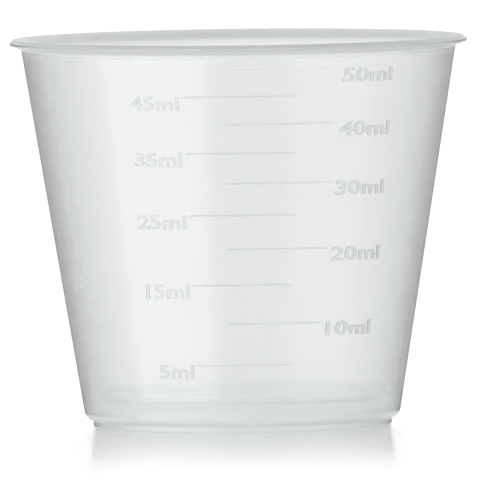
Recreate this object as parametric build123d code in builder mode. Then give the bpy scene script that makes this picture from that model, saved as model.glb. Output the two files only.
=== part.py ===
# Graduated medicine cup, injection moulded in one piece from natural polypropylene.
# Millimetres, +Z up. The origin is the centre of the circle that the foot rests on,
# and the graduations face -Y.

import os
from math import atan, cos, degrees, hypot, pi, radians, sin, tan

from build123d import *

# Overall form
height = 43.6           # resting plane to the top of the lip
mouth_diameter = 48.78  # outside of the wall, where the lip leaves it
base_diameter = 35.24   # outside of the wall, carried down to the shoulder
wall = 0.65             # thickness, square to the tapered wall

# Lip: the wall turned outward into a blunt flare
lip_overhang = 1.26     # how far the lip stands out past the wall
lip_depth = 1.10        # from the top of the lip down to where its underside leaves the wall
lip_edge = 0.65         # height of the lip's outer edge, its bevel included
lip_land = 0.60         # width of the top, its bevel included
lip_bevel = 0.35        # turns the top down to the outer edge
flare_depth = 0.85      # from the top of the lip down to where the inside begins to flare

# Base: a floor held off the table by a short foot ring, set in behind a rounded shoulder
floor_thickness = 0.80
recess_depth = 2.40     # resting plane up to the underside of the floor
foot_height = 0.72      # resting plane up to the crease under the shoulder
foot_wall = 0.75
shoulder_step = 0.87    # how far the foot ring is set in from the wall
shoulder_rise = 0.26    # how much the shoulder climbs on its way out to the wall
shoulder_round = 1.15
foot_chamfer = 0.15     # breaks the edge that the cup rests on
floor_round = 0.65      # inside, where the wall meets the floor
gate_diameter = 1.60    # moulding gate's witness, in the middle of the recess
gate_height = 0.25

# Graduations: raised ridges that follow the wall, each at the level that its volume fills to
mark_step = 5           # millilitres
scale_zero = 2.50       # level that the volumes count from, just under the floor's top
mark_width = 0.30       # at the wall
mark_height = 0.10      # how far a ridge stands out from the wall
mark_clearance = 0.60   # least distance from the highest ridge to the lip
odd_marks = (-15.5, 16.5)   # degrees either side of the front, for 5, 15, 25 ... ml
even_marks = (-4.3, 27.5)   # for 10, 20, 30 ... ml

# Sizes that follow
mouth_radius = mouth_diameter / 2
base_radius = base_diameter / 2
lip_radius = mouth_radius + lip_overhang
foot_radius = base_radius - shoulder_step
foot_inner = foot_radius - foot_wall
shoulder_height = foot_height + shoulder_rise
underlip_height = height - lip_depth
flare_height = height - flare_depth
floor_height = recess_depth + floor_thickness
wall_slope = (mouth_radius - base_radius) / (underlip_height - shoulder_height)
taper = atan(wall_slope)
wall_across = wall / cos(taper)  # the wall measured level


def outer_radius(level):
    return base_radius + (level - shoulder_height) * wall_slope


def inner_radius(level):
    return outer_radius(level) - wall_across


def fill_height(millilitres):
    # level that a volume reaches in the tapered inside
    zero_radius = inner_radius(scale_zero)
    cubed = zero_radius**3 + 3 * millilitres * 1000 * wall_slope / pi
    return scale_zero + (cubed ** (1 / 3) - zero_radius) / wall_slope


# The shoulder's round ends at the crease at the latest
shoulder_turn = pi / 2 - taper - atan(shoulder_rise / shoulder_step)
shoulder_room = hypot(shoulder_step, shoulder_rise) / tan(shoulder_turn / 2)
shoulder_fit = min(shoulder_round, 0.98 * shoulder_room)

# Half section as radius and height, with the radius of each corner: from the axis under
# the floor, round the outside and over the lip, and back down the inside to the axis
section = [
    ((0, recess_depth), None),
    ((foot_inner, recess_depth), 0),
    ((foot_inner, 0), 0),
    ((foot_radius - foot_chamfer, 0), 0),
    ((foot_radius, foot_chamfer), 0),
    ((foot_radius, foot_height), 0),
    ((base_radius, shoulder_height), shoulder_fit),
    ((mouth_radius, underlip_height), 0),
    ((lip_radius, height - lip_edge), 0),
    ((lip_radius, height - lip_bevel), 0),
    ((lip_radius - lip_bevel, height), 0),
    ((lip_radius - lip_land, height), 0),
    ((inner_radius(flare_height), flare_height), 0),
    ((inner_radius(floor_height), floor_height), floor_round),
    ((0, floor_height), None),
]
corners = [corner for corner, _ in section]
radii = [radius for _, radius in section[1:-1]]

# Section of a ridge: out from the wall, and up it
ridge = [
    (-wall / 2, -mark_width / 2),
    (0, -mark_width / 2),
    (mark_height, 0),
    (0, mark_width / 2),
    (-wall / 2, mark_width / 2),
]

with BuildPart() as cup:
    # Wall, lip, floor and foot
    with BuildSketch(Plane.XZ):
        with BuildLine():
            FilletPolyline(*corners, radius=radii)
            Line(corners[-1], corners[0])
        make_face()
    revolve(axis=Axis.Z)

    # Gate witness under the floor
    with BuildSketch(Plane.XY.offset(recess_depth - gate_height)):
        Circle(gate_diameter / 2)
    extrude(amount=gate_height + floor_thickness / 2)

    # Graduations, up to the last that clears the lip
    millilitres = mark_step
    while (level := fill_height(millilitres)) < underlip_height - mark_clearance:
        start, end = odd_marks if millilitres / mark_step % 2 else even_marks
        across = radians(start - 90)  # the front is -Y
        mark_plane = Plane(
            origin=(0, 0, 0),
            x_dir=(cos(across), sin(across), 0),
            z_dir=(sin(across), -cos(across), 0),
        )
        with BuildSketch(mark_plane):
            with Locations((outer_radius(level), level)):
                Polygon(*ridge, rotation=-degrees(taper))
        revolve(axis=Axis.Z, revolution_arc=end - start)
        print(f"{millilitres} ml at {level:.2f} mm")
        millilitres += mark_step

cup.part.label = "cup"
os.makedirs("parts", exist_ok=True)
export_step(cup.part, "parts/cup.step")
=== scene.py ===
# Graduated medicine cup in natural polypropylene, on a white studio sweep
from math import atan, atan2, ceil, cos, degrees, pi, radians, sin, tan

import bmesh
import bpy
from mathutils import Matrix, Vector


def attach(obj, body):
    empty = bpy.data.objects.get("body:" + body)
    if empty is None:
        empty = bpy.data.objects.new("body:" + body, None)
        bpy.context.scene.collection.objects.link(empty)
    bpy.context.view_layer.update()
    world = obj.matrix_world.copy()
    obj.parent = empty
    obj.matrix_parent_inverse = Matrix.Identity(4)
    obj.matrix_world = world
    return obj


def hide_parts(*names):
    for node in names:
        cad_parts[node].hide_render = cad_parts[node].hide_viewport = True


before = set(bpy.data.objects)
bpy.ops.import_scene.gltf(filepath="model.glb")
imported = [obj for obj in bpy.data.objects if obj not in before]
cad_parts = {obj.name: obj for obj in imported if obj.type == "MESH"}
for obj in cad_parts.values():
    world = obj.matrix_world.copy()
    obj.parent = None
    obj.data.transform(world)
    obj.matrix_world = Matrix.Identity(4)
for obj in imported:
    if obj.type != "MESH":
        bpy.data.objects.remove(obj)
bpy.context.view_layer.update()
print("frame loaded:", sorted(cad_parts))

mm = 0.001
white = (1, 1, 1, 1)

# The moulding, in millimetres: the CAD section, with its small edges rounded as the mould rounds them
cup = {
    "height": 43.6,
    "mouthRadius": 24.39,
    "baseRadius": 17.62,
    "wall": 0.65,
    "lipOverhang": 1.26,
    "lipDepth": 1.10,
    "lipEdge": 0.65,
    "lipLand": 0.60,
    "lipBevel": 0.35,
    "flareDepth": 0.85,
    "lipRound": 0.22,
    "bevelRound": 0.35,
    "landRound": 0.20,
    "flareRound": 0.80,
    "underlipRound": 0.30,
    "floorThickness": 0.80,
    "recessDepth": 2.40,
    "footHeight": 0.72,
    "footWall": 0.75,
    "shoulderStep": 0.87,
    "shoulderRise": 0.26,
    "shoulderRound": 1.15,
    "creaseRound": 0.22,
    "footRound": 0.20,
    "recessRound": 0.30,
    "floorRound": 0.65,
    "gateRadius": 0.80,
    "gateHeight": 0.25,
    "gateRound": 0.08,
    "scaleZero": 2.50,    # level that the graduations count from
    "segments": 320,      # round the axis
    "leastSegment": 0.2,  # share of a segment that a plain column keeps from a fine one
    "roundStep": 12,      # degrees of turn for each flat of a rounded corner
    "wallStep": 2.2,      # between the mesh's levels up the plain wall
    "insideSteps": 16,    # down the inside
}

wallSlope = (cup["mouthRadius"] - cup["baseRadius"]) / (
    cup["height"] - cup["lipDepth"] - cup["footHeight"] - cup["shoulderRise"])
taper = atan(wallSlope)
floorLevel = cup["recessDepth"] + cup["floorThickness"]
gateLevel = cup["recessDepth"] - cup["gateHeight"]


def outerRadius(level):
    return cup["baseRadius"] + (level - cup["footHeight"] - cup["shoulderRise"]) * wallSlope


def innerRadius(level):
    return outerRadius(level) - cup["wall"] / cos(taper)


def fillLevel(millilitres):
    # where a volume stands in the tapered inside, in mm above the table
    start = innerRadius(cup["scaleZero"])
    volume = 1000 * millilitres  # cubic mm
    reached = (start**3 + 3 * volume * wallSlope / pi) ** (1 / 3)
    return cup["scaleZero"] + (reached - start) / wallSlope


def rounded(before, corner, after, radius):
    # points along the round of one corner, evenly spaced
    into = (Vector(before) - Vector(corner)).normalized()
    out = (Vector(after) - Vector(corner)).normalized()
    opening = into.angle(out)
    middle = Vector(corner) + (into + out).normalized() * (radius / sin(opening / 2))
    reach = radius / tan(opening / 2)
    first = Vector(corner) + into * reach - middle
    last = Vector(corner) + out * reach - middle
    turn = pi - opening
    flats = max(2, ceil(degrees(turn) / cup["roundStep"]))
    start = atan2(first.y, first.x)
    sweep = (atan2(last.y, last.x) - start + pi) % (2 * pi) - pi
    return [
        middle + Vector((cos(start + sweep * k / flats), sin(start + sweep * k / flats))) * radius
        for k in range(flats + 1)]


# Graduations: ridges on the wall at the levels of 5 to 50 ml, in two staggered columns
marks = {
    "volumes": range(5, 51, 5),  # millilitres
    "width": 0.20,
    "height": 0.10,
    "oddSpan": (-15.5, 16.5),    # degrees either side of the front, for 5, 15, 25 ... ml
    "evenSpan": (-4.3, 27.5),    # for 10, 20, 30 ... ml
    "endFade": 0.6,              # degrees over which a ridge runs out
    "across": (-1.3, -1, -0.66, -0.33, 0, 0.33, 0.66, 1, 1.3),  # the mesh's levels, in half widths
    "clear": 0.4,                # from a ridge's middle to the plain wall's next level
}

# Mould line: a faint upright witness on the front of the wall, from the shoulder to the lip
mouldLine = {
    "angle": 4.2,    # degrees from the front
    "width": 0.16,
    "height": 0.035,
    "across": (-0.36, -0.24, -0.12, 0, 0.12, 0.24, 0.36),  # the mesh's columns, in segments
}


def inOddColumn(millilitres):
    return millilitres % 10 == 5


def swell(away):
    # rounded top of a ridge: 1 in its middle, 0 half its width away
    return 0.5 + 0.5 * cos(pi * away)


def ridgeRise(level, angle):
    # how far a graduation stands out from the wall at a level and an angle, in mm
    for millilitres in marks["volumes"]:
        away = abs(level - fillLevel(millilitres)) * 2 / marks["width"]
        if away < 1:
            start, end = marks["oddSpan" if inOddColumn(millilitres) else "evenSpan"]
            inside = min(angle - start, end - angle) / marks["endFade"]
            return marks["height"] * max(0, min(1, inside)) * swell(away)
    return 0


def lineRise(level, angle):
    # how far the mould line stands out there
    away = abs(radians(angle - mouldLine["angle"])) * outerRadius(level) * 2 / mouldLine["width"]
    return mouldLine["height"] * swell(away) if away < 1 else 0


def columnAngles():
    # angles round the cup, close together across the mould line and the ends of the graduations
    step = 360 / cup["segments"]
    fine = [mouldLine["angle"] + step * share for share in mouldLine["across"]]
    for start, end in (marks["oddSpan"], marks["evenSpan"]):
        fine += [start, start + marks["endFade"], end - marks["endFade"], end]
    least = cup["leastSegment"] * step
    plain = [-180 + step * k for k in range(cup["segments"])]
    plain = [angle for angle in plain if min(abs(angle - other) for other in fine) > least]
    return sorted(plain + fine)


def wallLevels(low, high):
    # levels up the outer wall, close together across each graduation
    levels = {low, high}
    level = low
    while level < high:
        levels.add(level)
        level += cup["wallStep"]
    for millilitres in marks["volumes"]:
        middle = fillLevel(millilitres)
        levels = {other for other in levels if abs(other - middle) > marks["clear"] or other in (low, high)}
        levels |= {middle + marks["width"] / 2 * share for share in marks["across"]}
    return sorted(levels)


def sectionArcs():
    # the half section's corners, from under the floor round to its top: radius, level and round
    foot = cup["baseRadius"] - cup["shoulderStep"]
    footInner = foot - cup["footWall"]
    lip = cup["mouthRadius"] + cup["lipOverhang"]
    flareLevel = cup["height"] - cup["flareDepth"]
    corners = {
        "gate": (cup["gateRadius"], gateLevel, cup["gateRound"]),
        "gateRoot": (cup["gateRadius"], cup["recessDepth"], cup["gateRound"]),
        "recess": (footInner, cup["recessDepth"], cup["recessRound"]),
        "footInside": (footInner, 0, cup["footRound"]),
        "foot": (foot, 0, cup["footRound"]),
        "crease": (foot, cup["footHeight"], cup["creaseRound"]),
        "shoulder": (cup["baseRadius"], cup["footHeight"] + cup["shoulderRise"], cup["shoulderRound"]),
        "underlip": (cup["mouthRadius"], cup["height"] - cup["lipDepth"], cup["underlipRound"]),
        "lipFoot": (lip, cup["height"] - cup["lipEdge"], cup["lipRound"]),
        "lipHead": (lip, cup["height"] - cup["lipBevel"], cup["lipRound"]),
        "bevel": (lip - cup["lipBevel"], cup["height"], cup["bevelRound"]),
        "land": (lip - cup["lipLand"], cup["height"], cup["landRound"]),
        "flare": (innerRadius(flareLevel), flareLevel, cup["flareRound"]),
        "floor": (innerRadius(floorLevel), floorLevel, cup["floorRound"]),
    }
    points = [(radius, level) for radius, level, _ in corners.values()]
    points = [(0, gateLevel), *points, (0, floorLevel)]
    rounds = [size for _, _, size in corners.values()]
    arcs = {}
    for name, before, corner, after, size in zip(corners, points, points[1:], points[2:], rounds):
        arcs[name] = rounded(before, corner, after, size)
    return arcs


def sectionRings():
    # radius and level of each ring of the mesh, and whether it lies on the graduated wall
    arcs = sectionArcs()
    rings = []
    for name, arc in arcs.items():
        rings += [(point.x, point.y, False) for point in arc]
        if name == "shoulder":  # the wall goes up from here
            levels = wallLevels(arc[-1].y, arcs["underlip"][0].y)[1:-1]
            rings += [(outerRadius(level), level, True) for level in levels]
        if name == "flare":     # and down the inside from here
            high, low = arc[-1].y, arcs["floor"][0].y
            levels = [high + (low - high) * k / cup["insideSteps"] for k in range(1, cup["insideSteps"])]
            rings += [(innerRadius(level), level, False) for level in levels]
    return rings


def cupMesh():
    shape = bmesh.new()
    angles = columnAngles()
    count = len(angles)
    loops = []
    for radius, level, graduated in sectionRings():
        loop = []
        for angle in angles:
            stand = radius + (max(ridgeRise(level, angle), lineRise(level, angle)) if graduated else 0)
            turn = radians(angle)
            loop.append(shape.verts.new((stand * sin(turn) * mm, -stand * cos(turn) * mm, level * mm)))
        loops.append(loop)
    for lower, upper in zip(loops, loops[1:]):
        for k in range(count):
            shape.faces.new((lower[k], lower[(k + 1) % count], upper[(k + 1) % count], upper[k]))
    under = shape.verts.new((0, 0, gateLevel * mm))
    inside = shape.verts.new((0, 0, floorLevel * mm))
    for k in range(count):
        shape.faces.new((under, loops[0][(k + 1) % count], loops[0][k]))
        shape.faces.new((inside, loops[-1][k], loops[-1][(k + 1) % count]))
    bmesh.ops.recalc_face_normals(shape, faces=shape.faces)
    for face in shape.faces:
        face.smooth = True
    mesh = bpy.data.meshes.new("moulding")
    shape.to_mesh(mesh)
    shape.free()
    return mesh


# Numerals: raised letters bent onto the wall, each level with the top of its line
numerals = {
    "capHeight": 1.62,
    "capShare": 0.729,    # of the font's size
    "stand": 0.08,        # above the wall
    "sunk": 0.03,         # into the wall
    "oddEnd": -16.6,      # degrees: odd numerals end here
    "evenStart": 29.0,
    "oddWidth": 1.3,      # letters are set wider than tall, more so on the right
    "evenWidth": 1.55,
    "spacing": 1.05,
    "thicken": 0.022,
    "bevel": 0.025,
}


def bendToWall(mesh, top, angle, alignRight):
    # lay flat letters on the cone: x runs round it, y up it, z out of it
    width = max(vertex.co.x for vertex in mesh.vertices)
    high = max(vertex.co.y for vertex in mesh.vertices)
    for vertex in mesh.vertices:
        along, up, out = vertex.co
        level = top + (up - high) * cos(taper)
        radius = outerRadius(level) + out
        turn = radians(angle) + ((along - width) if alignRight else along) / outerRadius(level)
        vertex.co = Vector((radius * sin(turn), -radius * cos(turn), level)) * mm


def makeNumeral(millilitres):
    curve = bpy.data.curves.new(f"figures{millilitres:02d}", "FONT")
    curve.body = f"{millilitres}ml"
    curve.size = numerals["capHeight"] / numerals["capShare"]
    curve.space_character = numerals["spacing"]
    curve.offset = numerals["thicken"]
    curve.extrude = (numerals["stand"] + numerals["sunk"]) / 2
    curve.bevel_depth = numerals["bevel"]
    curve.bevel_resolution = 1
    curve.resolution_u = 4
    flat = bpy.data.objects.new("flat", curve)
    bpy.context.scene.collection.objects.link(flat)
    bpy.context.view_layer.update()
    mesh = bpy.data.meshes.new_from_object(flat.evaluated_get(bpy.context.evaluated_depsgraph_get()))
    bpy.data.objects.remove(flat)
    lift = (numerals["stand"] - numerals["sunk"]) / 2
    left = min(vertex.co.x for vertex in mesh.vertices)
    odd = inOddColumn(millilitres)
    for vertex in mesh.vertices:
        vertex.co.x = (vertex.co.x - left) * numerals["oddWidth" if odd else "evenWidth"]
        vertex.co.z += lift
    top = fillLevel(millilitres) + marks["width"] / 2
    bendToWall(mesh, top, numerals["oddEnd" if odd else "evenStart"], odd)
    mesh.name = f"numeral{millilitres:02d}"
    piece = bpy.data.objects.new(f"numeral_{millilitres:02d}", mesh)
    bpy.context.scene.collection.objects.link(piece)
    return piece


def linear(hexColour):
    # sRGB hex to the linear colour that nodes take
    parts = [int(hexColour[k:k + 2], 16) / 255 for k in (1, 3, 5)]
    return (*[c / 12.92 if c <= 0.04045 else ((c + 0.055) / 1.055) ** 2.4 for c in parts], 1)


def addNode(tree, kind, inputs=None, **settings):
    # one node: each input takes a value, or the node or socket that feeds it
    node = tree.nodes.new(kind)
    for name, value in settings.items():
        setattr(node, name, value)
    for name, value in (inputs or {}).items():
        if isinstance(value, bpy.types.Node):
            value = value.outputs[0]
        if isinstance(value, bpy.types.NodeSocket):
            tree.links.new(value, node.inputs[name])
        else:
            node.inputs[name].default_value = value
    return node


# Injection-moulded natural polypropylene: clear enough to show the far wall, with a milky haze in
# the thickness and a moulded gloss outside, a little softened. Edge on it greys and hazes over,
# partly because there is more of it to look through and partly as painted shade at the edges
plastic = {
    # what each surface lets through and scatters, from face on (0) to edge on (1); the darkening edge on is
    # partly painted shade
    "tint": [(0.30, "#f0f1f1"), (0.60, "#e2e4e4"), (0.74, "#bcbebe"), (0.90, "#909292")],
    "haze": [(0.30, "#dcdede"), (0.60, "#b4b6b6"), (0.74, "#808282"), (0.90, "#5c5e5e")],
    "ior": 1.49,
    "roughness": 0.18,
    "baseRoughness": 0.34,
    "edgeOn": (0.42, 0.92),  # where the haze of an edge starts and is full
    "backScatter": 0.5,      # share of the haze that sends light back rather than on
    # share of haze in the wall, and in the parts that hold more of it
    "hazeShare": 0.10,
    "edgeHaze": 0.55,
    "lipHaze": 0.58,
    "baseHaze": 0.30,
    "floorHaze": 0.60,       # the floor's own top
    "ridgeHaze": 0.58,       # the flanks of the lines scatter what they catch
    "ridgeHazeLow": 0.10,    # on the lowest lines
    "ridgeHazeTop": 0.40,    # share of it left on the highest line
    "letterHaze": 0.20,
    # of the haze's colour, as painted light and shade in places
    # painted light: the haze on the lip is lighter
    "lipTone": 1.10,
    # painted shade: a darker band on the wall where the floor meets it
    "slabTone": 0.82,        # where the floor meets the wall
    # painted shade: the haze is darker under the lip and the shoulder
    "underTone": 0.76,       # under the lip and the shoulder
    # painted light: the haze on the floor's top is lighter
    "flatTone": 1.35,        # on the floor
    "shadowPass": 0.88,      # share of light that each surface lets through to what is behind it
    "rippleSize": 6.0,       # mm between the slow waves that flow leaves in the wall
    "rippleDepth": 0.4,      # mm
    "rippleStrength": 0.10,
}

# Where the plastic changes: what is measured, where the change starts and where it is full.
# A level is in mm above the table, a tilt runs from 0 on a wall to 1 on a floor, and a lean is
# how far a surface faces up, or down where it is negative
zones = {
    "foot": ("level", 1.3, 1.0),
    "slabUnder": ("level", 2.3, 2.5),
    "slabOver": ("level", 3.3, 3.1),
    "base": ("level", 3.4, 3.1),
    "floorTop": ("level", 3.6, 3.4),
    "dullBase": ("level", 4.4, 3.6),
    "wallFoot": ("level", 4.0, 4.2),
    "wallHead": ("level", 41.4, 41.2),
    "lip": ("level", 41.4, 42.5),
    "upperLines": ("level", 7, 22),
    "topLine": ("level", 38.8, 39.8),
    "upright": ("tilt", 0.6, 0.25),
    "flank": ("tilt", 0.25, 0.5),
    "flat": ("tilt", 0.8, 0.95),
    "downward": ("lean", -0.2, -0.6),
}


def measureZones(tree, place):
    # how far each point lies within each zone, from 0 to 1
    axes = addNode(tree, "ShaderNodeSeparateXYZ", {"Vector": place})
    level = addNode(tree, "ShaderNodeMath", {0: axes.outputs["Z"], 1: 1 / mm}, operation="MULTIPLY")
    surface = addNode(tree, "ShaderNodeNewGeometry")
    lean = addNode(tree, "ShaderNodeSeparateXYZ", {"Vector": surface.outputs["Normal"]}).outputs["Z"]
    tilt = addNode(tree, "ShaderNodeMath", {0: lean}, operation="ABSOLUTE")
    measures = {"level": level, "tilt": tilt, "lean": lean}
    within = {}
    for zone, (measure, start, full) in zones.items():
        within[zone] = addNode(tree, "ShaderNodeMapRange", {
            "Value": measures[measure], "From Min": start, "From Max": full})
    return within


def paintedEdgeShadeColours(tree, facing):
    # the tint and the haze, from face on to edge on, darker edge on: partly a longer path, partly painted
    # shade
    colours = {}
    for part in ("tint", "haze"):
        colours[part] = addNode(tree, "ShaderNodeValToRGB", {"Fac": facing})
        points = colours[part].color_ramp.elements
        while len(points) < len(plastic[part]):
            points.new(1)
        for point, (position, colour) in zip(points, plastic[part]):
            point.position = position
            point.color = linear(colour)
    return colours


def clearPart(tree, place, within, tint):
    # lets the far wall show, with slow ripples
    ripple = addNode(tree, "ShaderNodeTexNoise", {
        "Vector": place, "Scale": 1 / (plastic["rippleSize"] * mm), "Detail": 2.0})
    bump = addNode(tree, "ShaderNodeBump", {
        "Height": ripple, "Strength": plastic["rippleStrength"], "Distance": plastic["rippleDepth"] * mm})
    gloss = addNode(tree, "ShaderNodeMapRange", {
        "Value": within["dullBase"], "To Min": plastic["roughness"], "To Max": plastic["baseRoughness"]})
    return addNode(tree, "ShaderNodeBsdfPrincipled", {
        "Base Color": tint, "Roughness": gloss, "IOR": plastic["ior"],
        "Transmission Weight": 1.0, "Normal": bump})


def milkyPart(tree, within, haze):
    # scatters, with painted light and shade in its colour: lighter on the lip and the floor's top, darker in
    # a band where the floor meets the wall and under the lip and the shoulder
    slab = within["slabUnder"]
    for part in ("slabOver", "upright"):
        slab = addNode(tree, "ShaderNodeMath", {0: slab, 1: within[part]}, operation="MULTIPLY")
    under = addNode(tree, "ShaderNodeMath", {0: within["lip"], 1: within["foot"]}, operation="MAXIMUM")
    under = addNode(tree, "ShaderNodeMath", {0: under, 1: within["downward"]}, operation="MULTIPLY")
    flat = addNode(tree, "ShaderNodeMath", {0: within["floorTop"], 1: within["flat"]}, operation="MULTIPLY")
    paintedTones = {"lipTone": within["lip"], "slabTone": slab, "underTone": under, "flatTone": flat}
    paintedTone = 1
    for part, share in paintedTones.items():
        change = addNode(tree, "ShaderNodeMapRange", {"Value": share, "To Min": 1, "To Max": plastic[part]})
        paintedTone = addNode(tree, "ShaderNodeMath", {0: paintedTone, 1: change}, operation="MULTIPLY")
    milk = addNode(tree, "ShaderNodeVectorMath", {"Vector": haze, "Scale": paintedTone}, operation="SCALE")
    onward = addNode(tree, "ShaderNodeBsdfTranslucent", {"Color": milk})
    back = addNode(tree, "ShaderNodeBsdfDiffuse", {"Color": milk})
    return addNode(tree, "ShaderNodeMixShader", {0: plastic["backScatter"], 1: onward, 2: back})


def milkyShare(tree, within, facing, letters):
    # the most haze that any part of the shape asks for
    edge = addNode(tree, "ShaderNodeMapRange", {
        "Value": facing, "From Min": plastic["edgeOn"][0], "From Max": plastic["edgeOn"][1]})
    edge = addNode(tree, "ShaderNodeMath", {0: edge, 1: 2}, operation="POWER")
    share = addNode(tree, "ShaderNodeMapRange", {
        "Value": edge, "To Min": plastic["hazeShare"], "To Max": plastic["edgeHaze"]})
    if letters:
        hazes = [plastic["letterHaze"]]
    else:
        slab = addNode(tree, "ShaderNodeMapRange", {
            "Value": within["flat"], "To Min": plastic["baseHaze"], "To Max": plastic["floorHaze"]})
        slab = addNode(tree, "ShaderNodeMath", {0: within["base"], 1: slab}, operation="MULTIPLY")
        lip = addNode(tree, "ShaderNodeMath", {0: within["lip"], 1: plastic["lipHaze"]}, operation="MULTIPLY")
        growing = addNode(tree, "ShaderNodeMapRange", {
            "Value": within["upperLines"], "To Min": plastic["ridgeHazeLow"], "To Max": plastic["ridgeHaze"]})
        fading = addNode(tree, "ShaderNodeMapRange", {
            "Value": within["topLine"], "To Min": 1, "To Max": plastic["ridgeHazeTop"]})
        flank = within["wallFoot"]
        for part in (within["wallHead"], within["flank"], growing, fading):
            flank = addNode(tree, "ShaderNodeMath", {0: flank, 1: part}, operation="MULTIPLY")
        hazes = [slab, lip, flank]
    for haze in hazes:
        share = addNode(tree, "ShaderNodeMath", {0: share, 1: haze}, operation="MAXIMUM")
    return share


def makePolypropylene(name, letters=False):
    material = bpy.data.materials.new(name)
    material.use_nodes = True
    tree = material.node_tree
    tree.nodes.clear()
    place = addNode(tree, "ShaderNodeTexCoord").outputs["Object"]
    within = measureZones(tree, place)
    # how far a wall is seen edge on
    facing = addNode(tree, "ShaderNodeLayerWeight", {"Blend": 0.5}).outputs["Facing"]
    facing = addNode(tree, "ShaderNodeMath", {0: facing, 1: within["upright"]}, operation="MULTIPLY")
    colours = paintedEdgeShadeColours(tree, facing)
    clear = clearPart(tree, place, within, colours["tint"])
    milky = milkyPart(tree, within, colours["haze"])
    share = milkyShare(tree, within, facing, letters)
    body = addNode(tree, "ShaderNodeMixShader", {0: share, 1: clear, 2: milky})
    # light passes on through the thin wall, so the cup's shadow stays pale
    shadow = addNode(tree, "ShaderNodeLightPath").outputs["Is Shadow Ray"]
    passed = addNode(tree, "ShaderNodeMath", {0: shadow, 1: plastic["shadowPass"]}, operation="MULTIPLY")
    through = addNode(tree, "ShaderNodeBsdfTransparent", {"Color": white})
    whole = addNode(tree, "ShaderNodeMixShader", {0: passed, 1: body, 2: through})
    addNode(tree, "ShaderNodeOutputMaterial", {"Surface": whole})
    return material


polypropylene = makePolypropylene("injection-moulded polypropylene")
letterPlastic = makePolypropylene("moulded polypropylene letters", letters=True)
moulding = bpy.data.objects.new("cup_moulding", cupMesh())
bpy.context.scene.collection.objects.link(moulding)
moulding.data.materials.append(polypropylene)
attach(moulding, "root")
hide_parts("cup")
print("moulding:", len(moulding.data.polygons), "faces")

for millilitres in marks["volumes"]:
    piece = makeNumeral(millilitres)
    piece.data.materials.append(letterPlastic)
    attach(piece, "root")
print("numerals done")

# White sweep and the room round it, in metres
studio = {
    "floorHalf": 1.5,
    "floorColour": "#f2f2f2",
    "floorRoughness": 0.4,
    "floorGlow": 0.51,
    "mirrorRoughness": 0.22,
    "reflection": 0.85,          # the mirror's share beside the foot
    "reflectionFull": 0.028,     # from the axis to where it starts to fade
    "reflectionReach": 0.102,    # and to where it ends
    "reflectionSide": 0.0163,    # either side, as wide as the foot
    "reflectionEdge": 0.0006,
    "grazing": (0.80, 0.925),    # where it starts and is full: 0 from above, 1 level with the sheet
    "worldFront": 0.29,          # light from the room, in front of the cup and behind it
    "worldBack": 0.72,
    "worldTurn": 0.75,           # how far back it is full, from 0 at the side to 1 behind
    "lampAim": (0, 0, 0.02),
}


# Cast acrylic sheet, white and lightly polished: an even white ground that gives back a soft, short
# image of what stands on it, and only to a low look
def makeSheet():
    material = bpy.data.materials.new("white acrylic sheet")
    material.use_nodes = True
    tree = material.node_tree
    tree.nodes.clear()
    sheet = addNode(tree, "ShaderNodeBsdfPrincipled", {
        "Base Color": linear(studio["floorColour"]), "Roughness": studio["floorRoughness"],
        "Emission Color": white, "Emission Strength": studio["floorGlow"]})
    mirror = addNode(tree, "ShaderNodeBsdfAnisotropic", {
        "Color": white, "Roughness": studio["mirrorRoughness"]})
    # the mirror's share fades away from the foot, and is as wide as the foot
    place = addNode(tree, "ShaderNodeTexCoord").outputs["Object"]
    away = addNode(tree, "ShaderNodeVectorMath", {0: place}, operation="LENGTH").outputs["Value"]
    near = addNode(tree, "ShaderNodeMapRange", {
        "Value": away, "From Min": studio["reflectionFull"], "From Max": studio["reflectionReach"],
        "To Min": studio["reflection"], "To Max": 0.0}, interpolation_type="SMOOTHSTEP")
    side = addNode(tree, "ShaderNodeSeparateXYZ", {"Vector": place}).outputs["X"]
    side = addNode(tree, "ShaderNodeMath", {0: side}, operation="ABSOLUTE")
    inWidth = addNode(tree, "ShaderNodeMapRange", {
        "Value": side, "From Min": studio["reflectionSide"] + studio["reflectionEdge"],
        "From Max": studio["reflectionSide"]})
    share = addNode(tree, "ShaderNodeMath", {0: near, 1: inWidth}, operation="MULTIPLY")
    # where nothing is in front of it, the sheet mirrors only at a grazing look, as its gloss does
    low = addNode(tree, "ShaderNodeLayerWeight", {"Blend": 0.5}).outputs["Facing"]
    low = addNode(tree, "ShaderNodeMapRange", {
        "Value": low, "From Min": studio["grazing"][0], "From Max": studio["grazing"][1]})
    bare = addNode(tree, "ShaderNodeLightPath").outputs["Is Camera Ray"]
    behind = addNode(tree, "ShaderNodeMath", {0: 1, 1: bare}, operation="SUBTRACT")
    allowed = addNode(tree, "ShaderNodeMath", {0: behind, 1: low}, operation="MAXIMUM")
    share = addNode(tree, "ShaderNodeMath", {0: share, 1: allowed}, operation="MULTIPLY")
    whole = addNode(tree, "ShaderNodeMixShader", {0: share, 1: sheet, 2: mirror})
    addNode(tree, "ShaderNodeOutputMaterial", {"Surface": whole})
    return material


def makeFloor():
    half = studio["floorHalf"]
    mesh = bpy.data.meshes.new("sweep")
    corners = [(-half, -half, 0), (half, -half, 0), (half, half, 0), (-half, half, 0)]
    mesh.from_pydata(corners, [], [(0, 1, 2, 3)])
    mesh.materials.append(makeSheet())
    floor = bpy.data.objects.new("white_sweep", mesh)
    bpy.context.scene.collection.objects.link(floor)
    # the softboxes reach below the sheet, which doesn't shade the cup from them or hide them from its gloss
    floor.visible_glossy = False
    floor.visible_shadow = False


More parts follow.
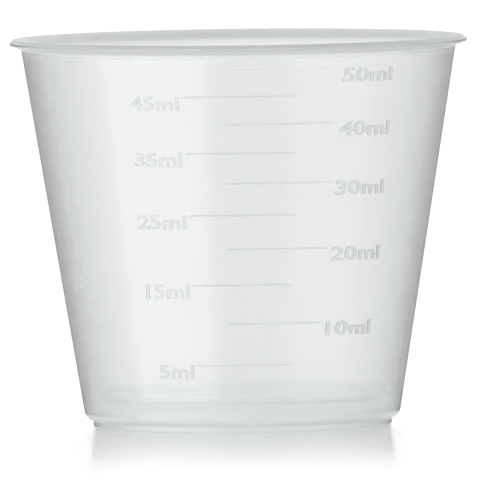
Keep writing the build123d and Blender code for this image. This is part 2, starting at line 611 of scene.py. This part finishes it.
def makeWorld():
    world = bpy.data.worlds.new("studio")
    bpy.context.scene.world = world
    world.use_nodes = True
    tree = world.node_tree
    tree.nodes.clear()
    place = addNode(tree, "ShaderNodeTexCoord").outputs["Generated"]
    axes = addNode(tree, "ShaderNodeSeparateXYZ", {"Vector": place})
    strength = addNode(tree, "ShaderNodeMapRange", {
        "Value": axes.outputs["Y"], "From Min": 0.0, "From Max": studio["worldTurn"],
        "To Min": studio["worldFront"], "To Max": studio["worldBack"]}, interpolation_type="SMOOTHSTEP")
    room = addNode(tree, "ShaderNodeBackground", {"Color": white, "Strength": strength})
    backdrop = addNode(tree, "ShaderNodeBackground", {"Color": white, "Strength": 1.0})
    # the backdrop is what the camera sees, past the cup, in its gloss and through it
    path = addNode(tree, "ShaderNodeLightPath")
    seen = 0
    for ray in ("Is Camera Ray", "Is Glossy Ray", "Is Transmission Ray"):
        seen = addNode(tree, "ShaderNodeMath", {0: seen, 1: path.outputs[ray]}, operation="ADD")
    seen.use_clamp = True
    whole = addNode(tree, "ShaderNodeMixShader", {0: seen, 1: room, 2: backdrop})
    addNode(tree, "ShaderNodeOutputWorld", {"Surface": whole})


# Softboxes, in metres
lamps = {
    "left_softbox": {"at": (-0.453, -0.394, -0.15), "size": (0.69, 0.5), "power": 2.3},
    "right_softbox": {"at": (0.49, -0.35, -0.15), "size": (0.55, 0.5), "power": 0.8},
}


def makeLamp(name, lamp):
    data = bpy.data.lights.new(name, "AREA")
    data.shape = "RECTANGLE"
    data.size, data.size_y = lamp["size"]
    data.energy = lamp["power"]
    light = bpy.data.objects.new(name, data)
    bpy.context.scene.collection.objects.link(light)
    light.location = lamp["at"]
    light.rotation_euler = (Vector(studio["lampAim"]) - light.location).to_track_quat("-Z", "Y").to_euler()


makeFloor()
makeWorld()
for name, lamp in lamps.items():
    makeLamp(name, lamp)

# Camera: from the front, a little above the rim, with a long lens; lengths in metres
view = {
    "distance": 2.3,
    "rise": 0.0367,        # above the rim, as a share of the distance
    "aimLevel": 0.0209,
    "aside": -0.00006,     # of the camera and its aim
    "roll": -0.68,         # degrees
    "sensor": 36,          # mm
    "frameWidth": 480,     # pixels of the frame
    "pixelsPerMm": 8.906,
    "clip": (0.1, 10),
}


def makeCamera():
    data = bpy.data.cameras.new("front")
    camera = bpy.data.objects.new("front", data)
    bpy.context.scene.collection.objects.link(camera)
    eye = Vector((view["aside"], -view["distance"], cup["height"] * mm + view["rise"] * view["distance"]))
    sight = Vector((view["aside"], 0, view["aimLevel"])) - eye
    turn = sight.to_track_quat("-Z", "Y").to_matrix().to_4x4()
    camera.matrix_world = Matrix.Translation(eye) @ turn @ Matrix.Rotation(radians(view["roll"]), 4, "Z")
    data.sensor_width = view["sensor"]
    data.sensor_fit = "HORIZONTAL"
    data.lens = view["sensor"] * sight.length / (view["frameWidth"] / view["pixelsPerMm"] * mm)
    data.clip_start, data.clip_end = view["clip"]
    bpy.context.scene.camera = camera


makeCamera()
bpy.context.scene.view_settings.view_transform = "Standard"
print("studio and camera done")
